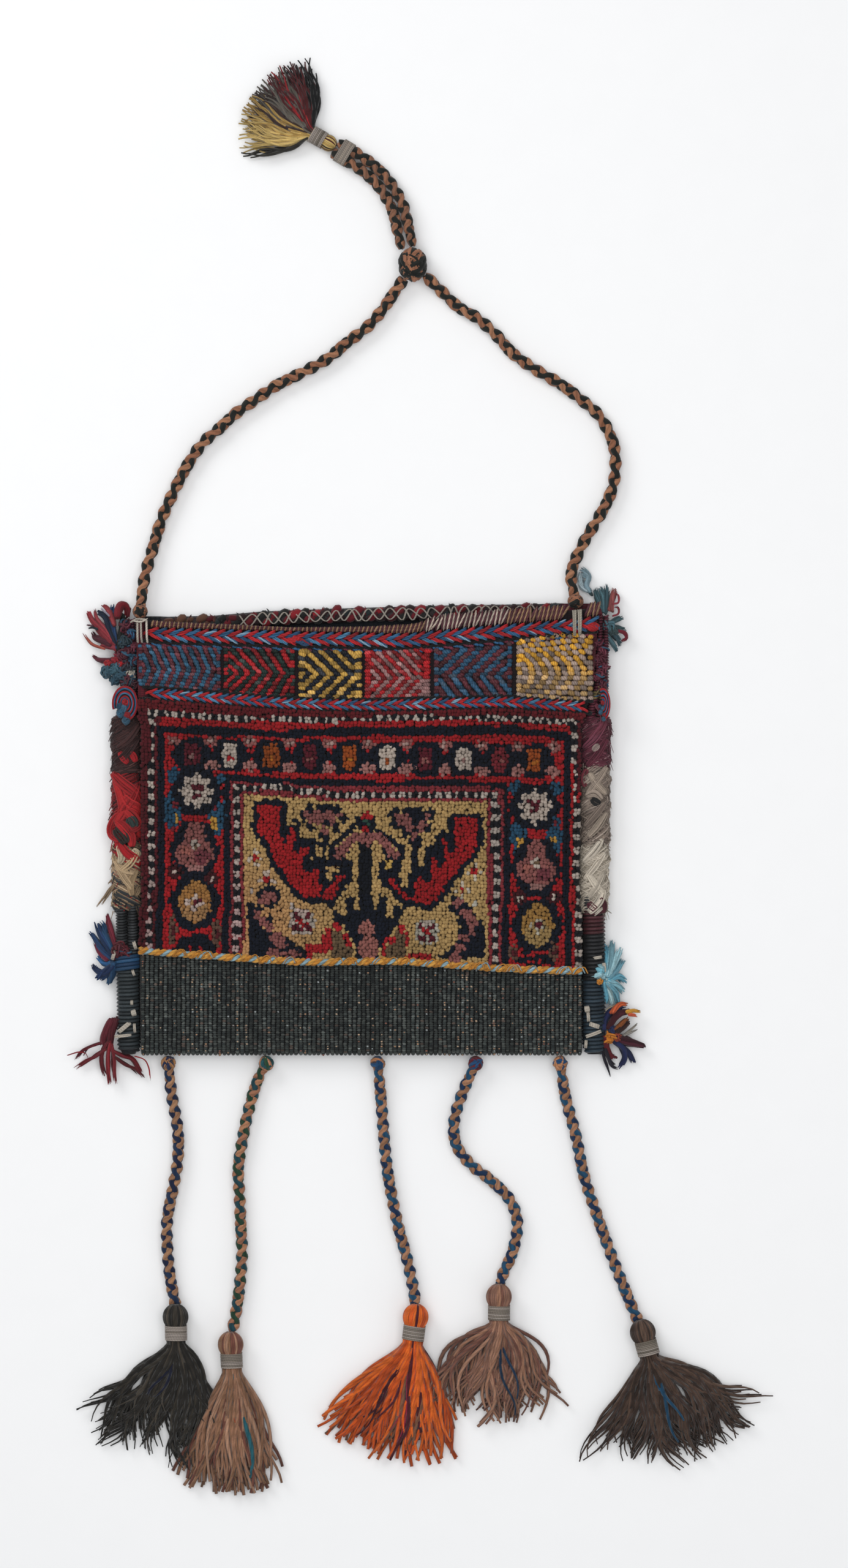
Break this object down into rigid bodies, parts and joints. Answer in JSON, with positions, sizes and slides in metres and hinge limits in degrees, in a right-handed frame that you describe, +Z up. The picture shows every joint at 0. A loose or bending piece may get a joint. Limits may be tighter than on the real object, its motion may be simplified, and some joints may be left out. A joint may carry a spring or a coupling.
{
  "type": "salt bag",
  "caption": "Pile-woven salt bag lying flat, with an open pocket, a braided tie handle and tasselled pendants along its bottom fold.",
  "frame": {"origin": "middle of the back's underside, on the surface that the bag lies on", "axes": "+X across the bag to the viewer's right, +Y from the bottom fold to the mouth and handle, +Z up through the layers, out of the pile front"},
  "size_m": [0.4012, 0.8596, 0.0198],
  "materials": {
    "flatweave_wool": "weft-faced weave, charcoal blue with tan specks",
    "selvedge_wool": "wrapped wool",
    "red_pile": "knotted wool pile",
    "gold_yarn": "plied yarn",
    "burgundy_wool": "wool",
    "blue_burgundy_wool": "weft floats",
    "red_green_wool": "weft floats",
    "gold_black_wool": "weft floats",
    "red_pink_wool": "weft floats",
    "yellow_grey_wool": "weft floats",
    "red_blue_braid": "braided yarn",
    "tan_burgundy_wool": "fine striped weave",
    "white_thread": "cotton thread",
    "grey_thread": "cotton thread",
    "brown_yarn": "loose hair yarn",
    "red_yarn": "loose yarn",
    "tan_yarn": "loose yarn",
    "plum_yarn": "loose yarn",
    "grey_yarn": "loose yarn",
    "cream_yarn": "loose yarn",
    "teal_yarn": "cut yarn",
    "pale_blue_yarn": "cut yarn",
    "dark_blue_yarn": "cut yarn",
    "black_brown_braid": "braided yarn",
    "blue_tan_braid": "braided yarn",
    "charcoal_yarn": "cut yarn",
    "tan_brown_yarn": "cut yarn",
    "orange_yarn": "cut yarn"
  },
  "bodies": {
    "bag": {"back_cloth": "flatweave_wool", "bottom_fold": "flatweave_wool", "lower_flatweave": "flatweave_wool", "pile_panel": "red_pile", "seam_cord": "gold_yarn", "band_facing": "burgundy_wool", "band_panel_1": "blue_burgundy_wool", "band_panel_2": "red_green_wool", "band_panel_3": "gold_black_wool", "band_panel_4": "red_pink_wool", "band_panel_5": "blue_burgundy_wool", "band_panel_6": "yellow_grey_wool", "upper_braid": "red_blue_braid", "lower_braid": "red_blue_braid", "left_braid_end": "red_blue_braid", "right_braid_end": "red_blue_braid", "front_hem": "tan_burgundy_wool", "rim_roll": "burgundy_wool", "rim_stitching": "white_thread", "left_selvedge": "selvedge_wool", "right_selvedge": "selvedge_wool", "left_wrap_brown": "brown_yarn", "left_wrap_red": "red_yarn", "left_wrap_tan": "tan_yarn", "right_wrap_plum": "plum_yarn", "right_wrap_grey": "grey_yarn", "right_wrap_cream": "cream_yarn", "top_left_tuft": "burgundy_wool", "top_right_tuft": "teal_yarn", "top_right_wisp": "pale_blue_yarn", "left_side_tassel": "dark_blue_yarn", "left_corner_tassel": "burgundy_wool", "right_side_tassel": "pale_blue_yarn", "right_corner_tassel": "plum_yarn", "left_lashing": "white_thread", "right_lashing": "grey_thread"},
    "handle": {"handle_cord_left": "black_brown_braid", "handle_cord_right": "black_brown_braid", "handle_knot": "black_brown_braid", "neck_cord_upper": "black_brown_braid", "neck_cord_lower": "black_brown_braid", "neck_binding": "grey_thread"},
    "handle_tassel": {"handle_tassel": "cream_yarn", "handle_tassel_binding": "grey_thread"},
    "pendant_1": {"pendant_1_cord": "blue_tan_braid"},
    "tassel_1": {"pendant_1_tassel": "charcoal_yarn", "pendant_1_binding": "grey_thread"},
    "pendant_2": {"pendant_2_cord": "blue_tan_braid"},
    "tassel_2": {"pendant_2_tassel": "tan_brown_yarn", "pendant_2_binding": "grey_thread"},
    "pendant_3": {"pendant_3_cord": "blue_tan_braid"},
    "tassel_3": {"pendant_3_tassel": "orange_yarn", "pendant_3_binding": "grey_thread"},
    "pendant_4": {"pendant_4_cord": "blue_tan_braid"},
    "tassel_4": {"pendant_4_tassel": "tan_brown_yarn", "pendant_4_binding": "grey_thread"},
    "pendant_5": {"pendant_5_cord": "blue_tan_braid"},
    "tassel_5": {"pendant_5_tassel": "charcoal_yarn", "pendant_5_binding": "grey_thread"}
  },
  "joints": [
    {"name": "handle_lift", "type": "hinge", "parent": "bag", "child": "handle", "pos_m": [-0.13187, 0.13421, 0.0078], "axis": [0.9997, 0.0233, 0], "range_deg": [0, 90]},
    {"name": "handle_tassel_lift", "type": "hinge", "parent": "handle", "child": "handle_tassel", "pos_m": [-0.01831, 0.41726, 0.0052], "axis": [1, 0, 0], "range_deg": [0, 80]},
    {"name": "pendant_1_lift", "type": "hinge", "parent": "bag", "child": "pendant_1", "pos_m": [-0.11486, -0.13874, 0.00685], "axis": [-1, 0, 0], "range_deg": [0, 120]},
    {"name": "tassel_1_lift", "type": "hinge", "parent": "pendant_1", "child": "tassel_1", "pos_m": [-0.11042, -0.29186, 0.0078], "axis": [-1, 0, 0], "range_deg": [0, 80]},
    {"name": "pendant_2_lift", "type": "hinge", "parent": "bag", "child": "pendant_2", "pos_m": [-0.05567, -0.13874, 0.00685], "axis": [-1, 0, 0], "range_deg": [0, 120]},
    {"name": "tassel_2_lift", "type": "hinge", "parent": "pendant_2", "child": "tassel_2", "pos_m": [-0.07713, -0.30851, 0.0078], "axis": [-1, 0, 0], "range_deg": [0, 80]},
    {"name": "pendant_3_lift", "type": "hinge", "parent": "bag", "child": "pendant_3", "pos_m": [0.01165, -0.13874, 0.00685], "axis": [-1, 0, 0], "range_deg": [0, 120]},
    {"name": "tassel_3_lift", "type": "hinge", "parent": "pendant_3", "child": "tassel_3", "pos_m": [0.03459, -0.29186, 0.0078], "axis": [-1, 0, 0], "range_deg": [0, 80]},
    {"name": "pendant_4_lift", "type": "hinge", "parent": "bag", "child": "pendant_4", "pos_m": [0.07084, -0.13874, 0.00685], "axis": [-1, 0, 0], "range_deg": [0, 120]},
    {"name": "tassel_4_lift", "type": "hinge", "parent": "pendant_4", "child": "tassel_4", "pos_m": [0.08489, -0.27965, 0.0078], "axis": [-1, 0, 0], "range_deg": [0, 80]},
    {"name": "pendant_5_lift", "type": "hinge", "parent": "bag", "child": "pendant_5", "pos_m": [0.12189, -0.13874, 0.00685], "axis": [-1, 0, 0], "range_deg": [0, 120]},
    {"name": "tassel_5_lift", "type": "hinge", "parent": "pendant_5", "child": "tassel_5", "pos_m": [0.17183, -0.30111, 0.0078], "axis": [-1, 0, 0], "range_deg": [0, 80]}
  ]
}
